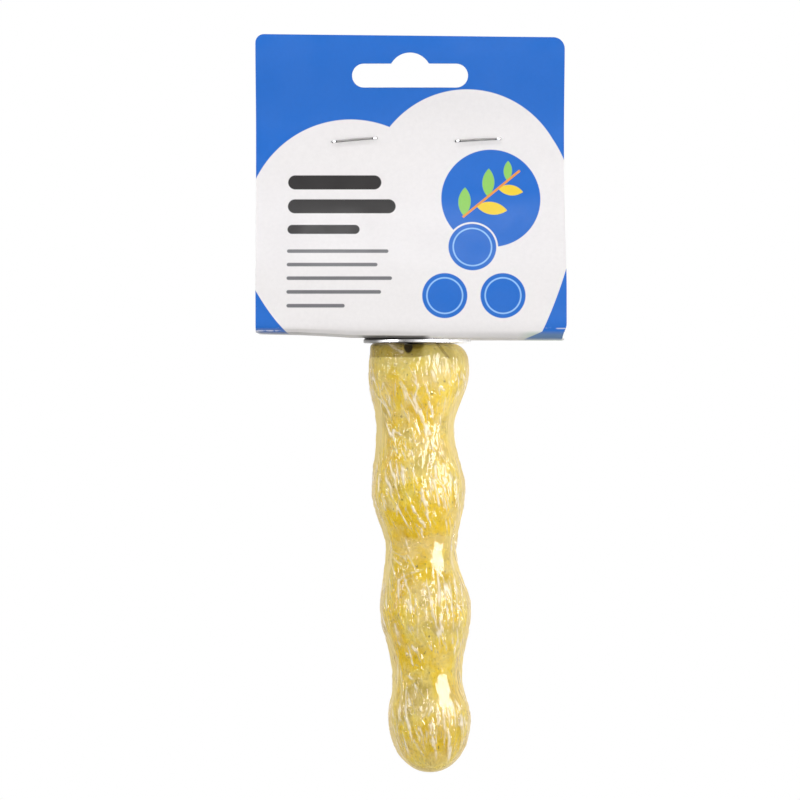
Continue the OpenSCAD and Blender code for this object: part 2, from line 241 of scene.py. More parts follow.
# Materials
class Shader:
    """A node tree, with short calls for the nodes that it needs and the colour painted so far."""

    def __init__(self, name, store=bpy.data.materials):
        self.owner = store.new(name)
        self.owner.use_nodes = True
        self.tree = self.owner.node_tree
        self.tree.nodes.clear()
        self.place = self.out("TexCoord", output="Object")
        self.colour = (1.0, 1.0, 1.0)

    def put(self, socket, value):
        if isinstance(value, bpy.types.NodeSocket):
            self.tree.links.new(value, socket)
        elif hasattr(socket.default_value, "__len__") and len(socket.default_value) == 4:
            socket.default_value = (*value[:3], 1.0)
        else:
            socket.default_value = value

    def node(self, kind, inputs=None, **settings):
        n = self.tree.nodes.new("ShaderNode" + kind)
        for key, value in settings.items():
            setattr(n, key, value)
        for key, value in (inputs or {}).items():
            self.put(n.inputs[key], value)
        return n

    def out(self, kind, inputs=None, output=0, **settings):
        """One output of a new node."""
        return self.node(kind, inputs, **settings).outputs[output]

    def finish(self, surface, kind="Material"):
        self.node("Output" + kind, {"Surface": surface})
        return self.owner

    # Numbers
    def math(self, op, *values, clamp=False):
        return self.out("Math", dict(enumerate(values)), operation=op, use_clamp=clamp)

    def chain(self, op, values):
        out = values[0]
        for v in values[1:]:
            out = self.math(op, out, v)
        return out

    def total(self, *values):
        return self.chain("ADD", values)

    def product(self, *values):
        return self.chain("MULTIPLY", values)

    def most(self, *values):
        return self.chain("MAXIMUM", values)

    def minus(self, a, b):
        return self.math("SUBTRACT", a, b)

    def gap(self, a, b=0.0):
        """How far a is from b."""
        return self.math("ABSOLUTE", self.minus(a, b))

    def line(self, value, slope, start, clamp=False):
        """start + slope * value."""
        return self.math("MULTIPLY_ADD", value, slope, start, clamp=clamp)

    def span(self, value, low, high, to_low=0.0, to_high=1.0):
        """An eased step of the value between low and high."""
        return self.out("MapRange", {
            "Value": value, "From Min": low, "From Max": high, "To Min": to_low,
            "To Max": to_high}, interpolation_type="SMOOTHSTEP")

    # Places and patterns
    def axes(self):
        """The place as x, y and z in millimetres."""
        split = self.node("SeparateXYZ", {"Vector": self.place}).outputs
        return [self.product(value, 1 / MM) for value in split]

    def mapped(self, scale, shift=(0, 0, 0), turn=0):
        """The place turned by that many degrees round y, scaled and shifted."""
        return self.out("Mapping", {"Vector": self.place, "Scale": scale, "Location": shift,
                                    "Rotation": (0, radians(turn), 0)})

    def distance(self, a, b):
        return self.out("VectorMath", {0: a, 1: b}, "Value", operation="DISTANCE")

    def noise(self, scale, detail=2.0, rough=0.5, distort=0.0, vector=None):
        return self.out("TexNoise", {
            "Vector": self.place if vector is None else vector, "Scale": scale,
            "Detail": detail, "Roughness": rough, "Distortion": distort}, "Fac")

    def cells(self, scale):
        """Distance to the nearest of scattered points, and two random numbers a point."""
        cell = self.node("TexVoronoi", {"Vector": self.place, "Scale": scale}).outputs
        chance = self.node("SeparateColor", {"Color": cell["Color"]}).outputs
        return cell["Distance"], chance[0], chance[1]

    def attribute(self, name):
        return self.out("Attribute", output="Fac", attribute_name=name)

    def steep(self, **inputs):
        """0 where the surface is seen square on, 1 where it is seen edge on."""
        return self.out("LayerWeight", {"Blend": 0.5, **inputs}, "Facing")

    # Colours and surfaces
    def ramp(self, value, *stops):
        n = self.node("ValToRGB", {"Fac": value})
        e = n.color_ramp.elements
        while len(e) < len(stops):
            e.new(0.5)
        for slot, (at, colour) in zip(e, stops):
            slot.position = at
            slot.color = (*colour, 1.0)
        return n.outputs[0]

    def mix(self, fac, a, b, kind="MIX"):
        return self.out("Mix", {0: fac, 6: a, 7: b}, 2, data_type="RGBA", blend_type=kind)

    def paint(self, colour, *weights, kind="MIX"):
        """Lay a colour over the colour so far, as strongly as the product of the weights."""
        self.colour = self.mix(self.product(*weights), self.colour, colour, kind)

    def bump(self, height, strength, distance):
        return self.out("Bump", {"Height": height, "Strength": strength, "Distance": distance})

    def diffuse(self, colour):
        return self.out("BsdfDiffuse", {"Color": colour})

    def clear(self):
        return self.out("BsdfTransparent", {"Color": (1, 1, 1)})

    def blend(self, fac, a, b):
        return self.out("MixShader", {0: fac, 1: a, 2: b})

    def solid(self, rough, bump, metal=0.0, level=0.5):
        """The material of an opaque surface in the colour painted so far."""
        return self.finish(self.out("BsdfPrincipled", {
            "Base Color": self.colour, "Roughness": rough, "Metallic": metal,
            "Specular IOR Level": level, "Normal": self.bump(*bump)}))


def front_gap(m, x, z, wide, high):
    """Distance from a place on the casting's front, in its half width and half height."""
    spot = m.mapped((1000 / wide, 55, 1000 / high), (-x / wide, 0, -z / high))
    return m.distance(spot, (0, -0.7, 0))


def recess_shade(m):
    """Painted shade: dark in the hollow under the washer's front, olive in the strip right of it.
    """
    return (m.span(front_gap(m, -2.5, -2.5, 1.25, 1.7), 1.2, 0.75),
            m.span(front_gap(m, -0.4, -1.9, 2.3, 1.1), 1.25, 0.7))


def painted_shadow_band(m):
    """Painted shadow under the washer and card, and painted shade along a slanting fold across it.
    """
    x, _, z = m.axes()
    away = m.total(m.product(x, 0.797), m.product(z, 0.603), -3.48)
    past = m.span(away, -0.1, 0.1)
    left = m.product(m.span(z, -5.45, -5.05), m.span(x, 2.6, 0.6, 0.30))
    right = m.product(m.span(z, -7.2, -5.6), m.span(x, 10.4, 9.0, 0.25), 0.55)
    weight = m.total(m.product(past, right), m.product(m.minus(1.0, past), left))
    return weight, m.product(m.span(m.gap(away), 0.55, 0.25), m.span(z, -5.9, -5.3))


# Strong yellow patches of the cement's front: x, z, half width, half height, weight
MUSTARD = [(-3.6, -51.5, 8.0, 5.2, 1.0), (6.5, -52.0, 5.0, 3.4, 0.8), (0.5, -21.0, 6.0, 4.6, 0.7),
           (3.6, -17.0, 3.4, 4.2, 0.6), (5.0, -29.0, 4.6, 3.2, 0.6), (-6.5, -58.0, 4.0, 3.6, 0.6),
           (-2.0, -66.5, 5.2, 3.8, 0.6), (-1.5, -88.5, 6.4, 4.6, 0.6), (8.6, -111.0, 6.0, 4.4, 0.7),
           (1.5, -114.0, 5.0, 3.6, 0.5), (7.0, -76.0, 4.4, 4.8, 0.5)]


def cement_material():
    """Mottled yellow: cream, khaki and mustard patches, grains, dark specks, painted shade on top.
    """
    m = Shader("cement")
    broad = m.noise(95, 2, 0.5, 0.6)
    patch = m.noise(270, 4, 0.6, 0.8, m.mapped((1, 1, 0.75), (2.2, 0.7, 0)))
    m.colour = m.ramp(m.total(m.product(broad, 0.6), m.product(patch, 0.4)),
                      (0.40, (0.72, 0.58, 0.13)), (0.455, (0.92, 0.76, 0.21)),
                      (0.50, (0.95, 0.76, 0.13)), (0.55, (0.94, 0.71, 0.04)),
                      (0.60, (0.91, 0.65, 0.01)))
    cream = m.noise(210, 3, 0.55, 0.5, m.mapped((1, 1, 0.6), (3.1, 0, 1.7)))
    m.paint((0.96, 0.79, 0.34), m.span(cream, 0.54, 0.66), 0.6)
    khaki = m.noise(190, 4, 0.6, 0.7, m.mapped((1, 1, 0.7), (0.4, 2.2, 0.9)))
    m.paint((0.64, 0.53, 0.11), m.span(khaki, 0.55, 0.70), 0.5)
    # Painted shade: darker khaki towards the casting's top, under the washer and card
    m.paint((0.70, 0.59, 0.20), m.span(m.axes()[2], -12.0, -4.5, 0.0, 0.55))
    ragged = m.minus(m.noise(420, 4, 0.65), 0.5)
    for x, z, wide, high, weight in MUSTARD:
        gap = m.line(ragged, 2.4, front_gap(m, x, z, wide, high))
        m.paint((0.90, 0.645, 0.005), m.span(gap, 1.2, 0.6), weight)
    grain = m.noise(1500, 3, 0.65)
    m.paint(m.ramp(grain, (0.3, (0.84, 0.82, 0.70)), (0.7, (1.09, 1.09, 1.08))), 1.0,
            kind="MULTIPLY")
    gap, chance, size = m.cells(480.0)
    speck = m.product(m.span(m.minus(gap, m.product(size, 0.16)), 0.07, 0.0),
                      m.span(chance, 0.45, 0.5))
    gap, chance, _ = m.cells(800.0)
    dot = m.product(m.span(gap, 0.22, 0.12), m.span(chance, 0.62, 0.66))
    m.paint((0.19, 0.14, 0.035), m.most(speck, dot), 0.75)
    # Painted shadow band under the washer and painted shade along the slanting fold
    for shade in painted_shadow_band(m):
        m.paint(SHADOW_TINT, shade, kind="MULTIPLY")
    # Painted shade in the hollow: olive beside it, near black inside
    hollow_shade, hollow_half_shade = recess_shade(m)
    m.paint((0.22, 0.15, 0.012), hollow_half_shade, 0.9)
    m.paint((0.030, 0.018, 0.004), hollow_shade, 0.97)
    height = m.total(m.product(grain, 0.5), m.product(m.noise(600, 3, 0.6), 0.8))
    return m.solid(0.85, (height, 0.6, 0.0004), level=0.12)


def film_material():
    """Clear and glossy, with creases, cream folds and a straw haze where the film is steep."""
    m = Shader("clear_film")

    def creases(scale, turn, width, shift):
        """Thin ridges along the contour lines of a stretched noise, here and there."""
        place = m.mapped(scale, (shift, 0.3 * shift, 0), turn)
        ridges = m.span(m.gap(m.noise(1.0, 1, 0.5, 0.4, place), 0.5), width, 0.0)
        return m.product(ridges, m.span(m.noise(0.8, 1, 0.5, 0.0, place), 0.42, 0.55))

    steep, ridge = m.steep(), m.attribute("ridge")
    height = m.total(creases((420, 420, 85), 8, 0.15, 0.0),
                     m.product(creases((330, 330, 150), -28, 0.12, 4.0), 0.9),
                     m.product(creases((700, 700, 300), 20, 0.16, 9.0), 0.55))
    height = m.product(height, m.attribute("crinkle"), m.span(steep, 0.75, 0.35, 0.25))
    normal = m.bump(height, 1.0, 0.00019)
    hollow_shade, hollow_half_shade = recess_shade(m)
    shades = painted_shadow_band(m)
    shine = m.line(m.math("POWER", m.steep(Normal=normal), 4.0), 0.15, 0.026, clamp=True)
    # Painted shade on the gloss: less shine in the hollow's painted shade and in the painted shadow
    # band
    shine = m.product(shine, m.line(hollow_shade, -0.9, 1.0), m.line(shades[0], -0.6, 1.0),
                      m.line(ridge, -0.35, 1.0))
    tint = m.mix(m.span(steep, 0.4, 0.9), (1.0, 0.95, 0.97), (0.88, 0.78, 0.52))
    gloss = m.out("BsdfGlossy", {"Color": tint, "Roughness": 0.10, "Normal": normal})
    ridge = m.product(ridge, m.span(m.noise(500, 2), 0.3, 0.6, 0.55, 1.0))
    cloudy = m.span(m.noise(150, 3, 0.6, 0.4), 0.45, 0.65, 0.0, 0.36)
    edge = m.span(steep, 0.25, 0.85, 0.0, 0.55)
    side = m.product(m.span(steep, 0.30, 0.62), m.attribute("veil"), 0.92)
    # No haze over the painted shade in the hollow
    clean = m.minus(1.0, m.most(hollow_shade, hollow_half_shade))
    plain = m.product(*(m.minus(1.0, v) for v in (
        m.product(cloudy, clean), m.product(edge, clean), side, m.product(ridge, 0.75))))
    m.colour = m.mix(ridge, (0.91, 0.73, 0.30), (1.0, 0.92, 0.80))
    # The painted shadow band darkens the film's haze too
    for shade in shades:
        m.paint(SHADOW_TINT, shade, kind="MULTIPLY")
    return m.finish(m.blend(shine, m.blend(plain, m.diffuse(m.colour), m.clear()), gloss))


def film_inside_material():
    """The film's inner face: clear, with a faint straw haze where it is steep."""
    m = Shader("clear_film_inside")
    uneven = m.span(m.noise(300, 3, 0.6), 0.3, 0.7, 0.5, 1.0)
    haze = m.product(m.span(m.steep(), 0.35, 0.9, 0.0, 0.4), uneven)
    return m.finish(m.blend(haze, m.clear(), m.diffuse((0.80, 0.68, 0.36))))


def zinc_material(name, tone, rough, painted_rim_light=False):
    """Zinc plate; with painted_rim_light, painted shade on one side of the lower washer's top rim.
    """
    m = Shader(name)
    m.colour = m.ramp(m.noise(260, 3, 0.6), (0.3, (0.88 * c for c in tone)), (0.7, tone))
    if painted_rim_light:
        x, _, z = m.axes()
        # Painted shade where the card shades the rim, lighter at the rim's left end
        rim_shade = m.most(m.product(m.span(z, -0.54, -0.36), m.span(x, 4.5, 0.5)),
                      m.span(x, -10.0, -11.6, 0.0, 0.7),
                      m.product(m.span(x, -5.6, -5.0), m.span(x, 1.2, -3.6), 0.75))
        # Painted highlight at the rim's right end
        m.paint((0.98, 0.98, 0.98), m.span(x, 8.5, 11.5))
        m.paint((0.05, 0.045, 0.04), rim_shade, 0.94)
    roughness = m.span(m.noise(700, 3, 0.6), 0.3, 0.7, rough - 0.06, rough + 0.12)
    height = m.total(m.product(m.noise(2600, 2, 0.6), 0.4), m.product(m.noise(900, 2), 0.6))
    return m.solid(roughness, (height, 0.25, 0.00006), metal=1.0)


def staple_material():
    """Drawn wire, with a painted highlight where the crown bends back into the card."""
    m = Shader("staple_wire")
    m.colour = m.ramp(m.noise(260, 3, 0.6), (0.3, (0.18, 0.175, 0.17)), (0.7, (0.24, 0.235, 0.23)))
    for x, z in staple_spots(CROWN_W / 2 - 0.8):
        # At each bend: a painted highlight ringed by painted shade
        gap = m.distance(m.place, (x * MM, -0.9 * MM, z * MM))
        m.paint((0.05, 0.05, 0.05), m.span(gap, 0.00095, 0.0007))
        m.paint((1.0, 1.0, 1.0), m.span(gap, 0.00055, 0.00042))
    return m.solid(0.40, (m.noise(2600, 2, 0.6), 0.1, 0.00006), metal=1.0)


# Tint multiplied in for the painted shadow band under the washer
SHADOW_TINT = (0.60, 0.56, 0.45)
BLUE, WHITE, SKY = (0.006, 0.137, 0.57), (0.82, 0.795, 0.795), (0.30, 0.55, 0.88)
BLACK, GREY = (0.016, 0.014, 0.014), (0.16, 0.16, 0.17)
GREEN, YELLOW, ORANGE = (0.28, 0.60, 0.12), (0.86, 0.62, 0.04), (0.80, 0.30, 0.05)
BAR_LEFT, THIN_BAR = -36.0, 0.5
TWIG_X, TWIG_Z, TWIG_DX, TWIG_DZ = 13.0, 34.0, 14.5, 12.0
PIN_SCUFF_R = 0.78


class Print(Shader):
    """A face of the card, with plain shapes at places in x and z."""

    def __init__(self, name):
        super().__init__(name)
        self.x, _, self.z = self.axes()
        self.colour = BLUE

    def below(self, value, edge, soft=0.12):
        return self.span(self.minus(value, edge), soft, -soft)

    def length(self, a, b):
        return self.math("SQRT", self.total(self.product(a, a), self.product(b, b)))

    def far(self, cx, cz):
        return self.length(self.minus(self.x, cx), self.minus(self.z, cz))

    def disc(self, cx, cz, r):
        return self.below(self.far(cx, cz), r)

    def bar(self, x1, cz, r):
        """A bar with round ends, from BAR_LEFT to x1."""
        mid, half = (BAR_LEFT + x1) / 2, (x1 - BAR_LEFT) / 2 - r
        out = self.most(self.minus(self.gap(self.x, mid), half), 0.0)
        return self.below(self.length(out, self.minus(self.z, cz)), r)

    def leaf(self, cx, cz, angle, length, width):
        """A pointed leaf: where two discs meet."""
        r = (length ** 2 / 4 + width ** 2 / 4) / width
        shift = r - width / 2
        c, s = cos(radians(angle)), sin(radians(angle))
        mx, mz = cx + c * length / 2, cz + s * length / 2
        return self.product(self.disc(mx - s * shift, mz + c * shift, r),
                            self.disc(mx + s * shift, mz - c * shift, r))


def print_front(m):
    """A white field with blue corners, bars, a leafed twig and three plain discs."""
    clipped = m.product(m.disc(9.85, 36.8, 33.8), m.span(m.x, 24.0, 25.5))
    m.paint(WHITE, m.most(m.disc(-18.6, 31.9, 29.3), m.disc(13.9, 41.7, 27.75), clipped,
                          m.below(m.z, 44.0)))
    left, right = m.total(m.x, 43.3), m.minus(40.2, m.x)
    for away, start, slope, bend in ((left, 10.97, -1.62, 0.045), (right, 16.7, -3.0, 0.08)):
        foot = m.line(m.product(away, away), bend, m.line(away, slope, start))
        m.paint(BLUE, m.below(m.z, foot), m.below(away, 12.0))
    reach = m.line(m.z, -2.31, 5.7 + 1.8 * 2.31)
    m.paint(BLUE, m.below(m.z, 1.9), m.below(right, reach))
    for x1, cz, r in ((-10, 43.6, 2.0), (-6, 36.8, 2.0), (-16, 30.2, 1.3)):
        m.paint(BLACK, m.bar(x1, cz, r))
    for x1, cz in ((-8, 24.0), (-11, 20.2), (-7, 16.4), (-10, 12.6), (-20, 8.8)):
        m.paint(GREY, m.bar(x1, cz, THIN_BAR))
    m.paint(BLUE, m.disc(20.5, 39.0, 13.8))
    for share, side, long in ((0.0, 1, 8.2), (0.24, -1, 8.6), (0.46, 1, 8.0), (0.66, -1, 7.0),
                              (0.84, 1, 5.6)):
        leaf = m.leaf(TWIG_X + TWIG_DX * share, TWIG_Z + TWIG_DZ * share, 39.6 + 48 * side,
                      long, long * 0.42)
        m.paint(GREEN if side > 0 else YELLOW, leaf)
    stem = m.gap(m.minus(m.z, TWIG_Z), m.product(m.minus(m.x, TWIG_X), TWIG_DZ / TWIG_DX))
    m.paint(ORANGE, m.below(stem, 0.42), m.below(m.far(20.5, 40.5), 10.4))
    for cx, cz, r in ((15.2, 25.2, 6.6), (7.5, 11.6, 6.2), (23.5, 11.6, 6.2)):
        m.paint(WHITE, m.disc(cx, cz, r + 0.5))
        m.paint(BLUE, m.disc(cx, cz, r))
        m.paint(SKY, m.below(m.gap(m.far(cx, cz), r - 1.3), 0.2))


def print_back(m):
    """A white field with seven bars and a blue line at its foot."""
    m.paint(WHITE, m.below(m.z, 46.0))
    for k in range(7):
        m.paint(GREY, m.bar(26 - 5 * (k % 3), 36 - 3.4 * k, THIN_BAR))
    m.paint(BLUE, m.below(m.z, 6.0), m.below(2.0, m.z))


def card_wear_and_painted_light(m):
    """Pale rims round the staples' ends, rubbed crease and corner, painted light and shade."""
    x, z, fold = m.x, m.z, m.attribute("fold")
    m.paint(WHITE, m.most(*(m.disc(px, pz, PIN_SCUFF_R) for px, pz in staple_spots(PIN_X))), 0.8)
    # Painted shade on the fold's underside, which faces down, greyed by painted sheen and rubbing
    fold_underside_shade = m.span(fold, 2.3, 0.9)
    m.paint((0.58, 0.57, 0.56), fold_underside_shade, m.span(x, 5.0, 30.0, 0.10, 0.30))
    m.paint((0.84, 0.84, 0.84), fold_underside_shade, kind="MULTIPLY")
    m.paint((0.68, 0.84, 0.72), fold_underside_shade, m.span(x, 27.0, 33.0), kind="MULTIPLY")
    # Painted shade: a dark line along the fold's lower edge
    lower = m.total(m.span(x, 14.0, -8.0, 0.10, 0.30), m.span(x, -28.0, -33.0, 0.0, 0.2))
    m.paint((0.12, 0.115, 0.11), m.span(fold, 0.42, 0.12), lower)
    ragged = m.noise(500, 4, 0.7)
    # Rubbed paper along the crease and at the left corner; the short left and right lines are
    # painted highlights on the fold
    crease = m.product(m.span(m.gap(z, CREASE_H), 0.35, 0.0), m.span(ragged, 0.5, 0.75), 0.22)
    left = m.product(m.span(m.gap(z, 1.95), 0.30, 0.05), m.span(x, -36.0, -40.0),
                     m.span(ragged, 0.40, 0.50), 0.6)
    right = m.product(m.span(m.gap(z, 2.55), 0.26, 0.05), m.span(x, 37.8, 38.6), 0.6)
    corner = m.product(m.span(m.far(CARD_LEFT, 1.6), 1.9, 0.6), m.span(ragged, 0.46, 0.56), 0.8)
    m.paint((0.84, 0.83, 0.82), m.most(crease, left, right, corner))
    m.paint(m.ramp(m.noise(900, 3, 0.6), (0.3, (0.965, 0.965, 0.965)), (0.7, (1.0, 1.0, 1.0))),
            1.0, kind="MULTIPLY")
    # Painted shadow on the base beside the washers
    m.paint((0.06, 0.055, 0.05), m.below(z, 0.62, 0.2), m.span(m.gap(x, -6.5), 10.5, 8.0), 0.85)


def card_fibre(m):
    return m.total(m.product(m.noise(2200, 3, 0.6), 0.5), m.product(m.noise(300, 2), 0.8))


def printed_material(name, pattern):
    m = Print(name)
    pattern(m)
    card_wear_and_painted_light(m)
    rough = m.span(m.noise(120, 3, 0.6), 0.3, 0.7, 0.40, 0.52)
    return m.solid(rough, (card_fibre(m), 0.12, 0.00005), level=0.25)


def board_material():
    """The card's bare inner face."""
    m = Shader("card_board")
    m.colour = (0.80, 0.785, 0.76)
    m.paint((0.62, 0.60, 0.56), m.span(m.noise(700, 4, 0.75), 0.6, 0.75), 0.35)
    m.paint((0.74, 0.72, 0.69), m.noise(60, 3), 0.25)
    return m.solid(0.85, (card_fibre(m), 0.4, 0.00008), level=0.3)


CEMENT = cement_material()
FILM = film_material()
FILM_INSIDE = film_inside_material()
ZINC = zinc_material("zinc_plate", (0.72, 0.72, 0.73), 0.30)
ZINC_PAINTED_RIM_LIGHT = zinc_material("zinc_plate_painted_rim_light", (0.72, 0.72, 0.73), 0.30, True)
BOLT_STEEL = zinc_material("bolt_steel", (0.66, 0.66, 0.67), 0.34)
STAPLE_WIRE = staple_material()
PRINT_FRONT = printed_material("printed_card_front", print_front)
PRINT_BACK = printed_material("printed_card_back", print_back)
BOARD = board_material()


# Casting and film
def angles(n):
    return 2 * np.pi * np.arange(n) / n


def circle(n, r, z):
    return [(r * cos(t), r * sin(t), z) for t in angles(n)]


def skin_angles(n):
    """Angles round a skin, closer together at the front, where its relief is finest."""
    t = angles(n)
    return t - 0.42 * np.sin(t - FRONT)


def skin_depths(body, edge, tip):
    """Depths of a skin's rings: over the edge, down the body and round the tip."""
    return np.concatenate([
        SHOULDER_TOP * (1 - np.cos(np.linspace(0, np.pi / 2, edge, endpoint=False))),
        np.linspace(SHOULDER_TOP, LAST_AT, body, endpoint=False),
        LAST_AT + TIP_LEN * np.sin(np.pi / 2 * np.arange(tip) / tip)])


def skin_points(s, a, r, off):
    """Points of a skin at depths s and angles a, off outside the casting's height."""
    lift = np.where(s < SHOULDER_TOP, 1 - s / SHOULDER_TOP, -tip_share(s) ** 2) * off
    return np.stack([lean_at(s) + r * np.cos(a), sway_at(s) + r * np.sin(a),
                     CAST_TOP - s + lift], -1)


def front_place(x, z):
    """Depth and angle of the front point of the film that shows at x, z."""
    s = CAST_TOP - z
    r = smooth_r(s, FRONT) + FILM_OFF + bridge(s)
    return s, FRONT + asin(max(-0.98, min(0.98, (x - lean_at(s)) / r)))


def make_casting(n=300):
    s, a = np.broadcast_arrays(skin_depths(262, 12, 34)[:, None], skin_angles(n)[None, :])
    base = smooth_r(s, a)
    p = skin_points(s, a, base, 0)
    ridges = value_noise(p / (1.7, 1.7, 8.0) + 11.3, 3)
    lumps = value_noise(p / 2.4 + 4.1, 5)
    pits = np.maximum(0, value_noise(p / 0.9 + 7.7, 9) - 0.78) / 0.22
    relief = BARK_DEPTH * (0.55 * groove(s, a) + 0.45 * ridges) + 0.2 * lumps + 0.25 * pits
    relief = relief * rise(s / 5) * (1 - tip_share(s) ** 6)
    relief = relief + chip(p[..., 0], s, a, 2.6, 2.7, 2.6) * (0.75 + 0.5 * lumps)
    outer = skin_points(s, a, np.maximum(0.4, base - relief), 0)
    outer[0, :, 2] -= 0.12 * lumps[0]
    ring = np.stack([np.cos(a[0]), np.sin(a[0])], -1)
    bore, head = STUD_R + 0.02, HEAD_R + 0.05
    head_top = CAST_TOP - STUD_GRIP
    rings = [np.concatenate([ring * r, np.full((n, 1), z)], 1) for r, z in (
        (head, head_top - HEAD_H), (head, head_top), (bore, head_top), (bore, CAST_TOP))]
    for share in (0.2, 0.4, 0.6, 0.8):
        rings.append(rings[3] * (1 - share) + outer[0] * share)
        rings[-1][:, 2] -= 0.1 * value_noise(rings[-1] / 1.3, 21)
    rings += list(outer)
    points = np.concatenate(rings + [[(0, 0, head_top - HEAD_H), TIP]])
    add_piece("cement_casting", points, closed_tube(len(rings), n), [CEMENT], "perch",
              ["perch_casting"])


# Folds of the film that show from the front: x and z of both ends in tenths of a millimetre,
# half width and height in hundredths
FOLDS = np.array([
    (-70, -57, -56, -84, 55, 10), (-89, -116, -72, -141, 28, 10), (-51, -115, -24, -181, 41, 20),
    (-20, -146, 23, -247, 50, 24), (23, -247, 34, -269, 83, 26), (-17, -110, 10, -146, 33, 14),
    (36, -84, 52, -126, 72, 18), (57, -137, 77, -145, 50, 20), (-103, -149, -72, -215, 36, 16),
    (-96, -199, -78, -229, 28, 12), (-72, -250, -35, -273, 33, 18),
    (-70, -257, -61, -284, 36, 16), (23, -168, 44, -207, 36, 16), (-70, -290, -50, -325, 33, 15),
    (-45, -292, -25, -312, 28, 12), (38, -300, 49, -316, 44, 18), (-75, -331, -67, -386, 33, 18),
    (-58, -334, -50, -397, 36, 20), (-45, -339, -36, -394, 33, 18), (46, -350, 52, -383, 41, 18),
    (74, -345, 79, -386, 39, 16), (-89, -364, -81, -403, 44, 14), (-64, -370, -58, -408, 41, 22),
    (-43, -364, -35, -408, 41, 22), (10, -411, 31, -502, 41, 24), (20, -414, 35, -447, 30, 16),
    (31, -386, 39, -425, 33, 18), (46, -394, 60, -469, 33, 18), (68, -380, 79, -405, 55, 22),
    (60, -425, 76, -474, 33, 16), (89, -359, 92, -425, 33, 18), (102, -359, 105, -463, 39, 18),
    (-35, -466, -14, -507, 25, 12), (-14, -507, 20, -538, 25, 12), (10, -502, 23, -527, 55, 22),
    (41, -499, 52, -519, 33, 14), (-14, -463, -6, -486, 33, 14), (55, -644, 60, -739, 44, 24),
    (-70, -588, -23, -615, 28, 16), (-67, -607, -38, -633, 28, 18),
    (-72, -612, -58, -668, 28, 14), (-56, -676, -27, -652, 30, 18), (-27, -652, 20, -639, 30, 18),
    (-43, -692, -36, -672, 28, 14), (-36, -672, -17, -662, 28, 14),
    (-78, -659, -67, -709, 33, 16), (-87, -723, -82, -759, 33, 16), (19, -670, 16, -706, 44, 14),
    (-28, -723, -20, -745, 55, 16), (37, -720, 42, -772, 41, 20), (-1, -750, 5, -783, 44, 14),
    (70, -651, 77, -723, 30, 18), (85, -662, 93, -756, 30, 18), (100, -657, 107, -745, 33, 18),
    (115, -668, 122, -756, 30, 16), (77, -723, 84, -800, 33, 18), (93, -739, 99, -811, 33, 16),
    (110, -739, 115, -806, 33, 16), (46, -756, 52, -806, 36, 16), (60, -772, 66, -817, 36, 16),
    (-64, -794, -47, -833, 33, 14), (-56, -836, -45, -852, 39, 16), (-17, -847, -1, -866, 44, 18),
    (-31, -872, -12, -880, 33, 14), (30, -844, 38, -863, 39, 16), (-6, -902, 8, -908, 33, 14),
    (-31, -932, -6, -946, 39, 16), (-47, -891, -45, -999, 44, 16),
    (-45, -999, -50, -1073, 44, 16), (-32, -963, -30, -1037, 30, 22),
    (-30, -1037, -18, -1098, 30, 24), (-18, -1098, 23, -1164, 30, 24),
    (53, -1015, 59, -1079, 39, 20), (68, -1021, 74, -1090, 39, 20),
    (82, -1015, 88, -1076, 39, 20), (96, -999, 104, -1073, 33, 18),
    (103, -998, 121, -1032, 39, 18), (117, -1043, 124, -1092, 39, 16),
    (17, -1048, 30, -1015, 30, 14), (27, -1051, 38, -1018, 30, 14),
    (33, -1057, 37, -1081, 33, 14), (-25, -996, -17, -1021, 39, 14),
    (8, -1021, 10, -1032, 44, 14), (-12, -999, -6, -1040, 30, 14), (82, -1095, 96, -1115, 50, 12),
    (33, -1098, 35, -1123, 33, 12), (-71, -23, -41, -40, 30, 26), (-77, -17, -41, -29, 24, 22),
    (-44, -37, -42, -44, 50, 26)
]) / (10, 10, 10, 10, 100, 100)
SMALL_FOLDS = 1400

# Where the film's profile slips along the casting: depth, reach, by how much
SLIPS = ((92.0, 6.5, -2.0), (56.5, 6.0, 0.8))
# Smooth panes of the film: depth, half height, degrees from the front, half width, strength
PANES = ((57.5, 7.0, 30, 27, 1.0), (57.5, 9, -62, 24, 0.8), (93.5, 7.5, 30, 27, 1.0),
         (91.0, 10, -60, 26, 0.9), (24.0, 7, 58, 16, 0.8), (24.0, 6, -68, 14, 0.6))


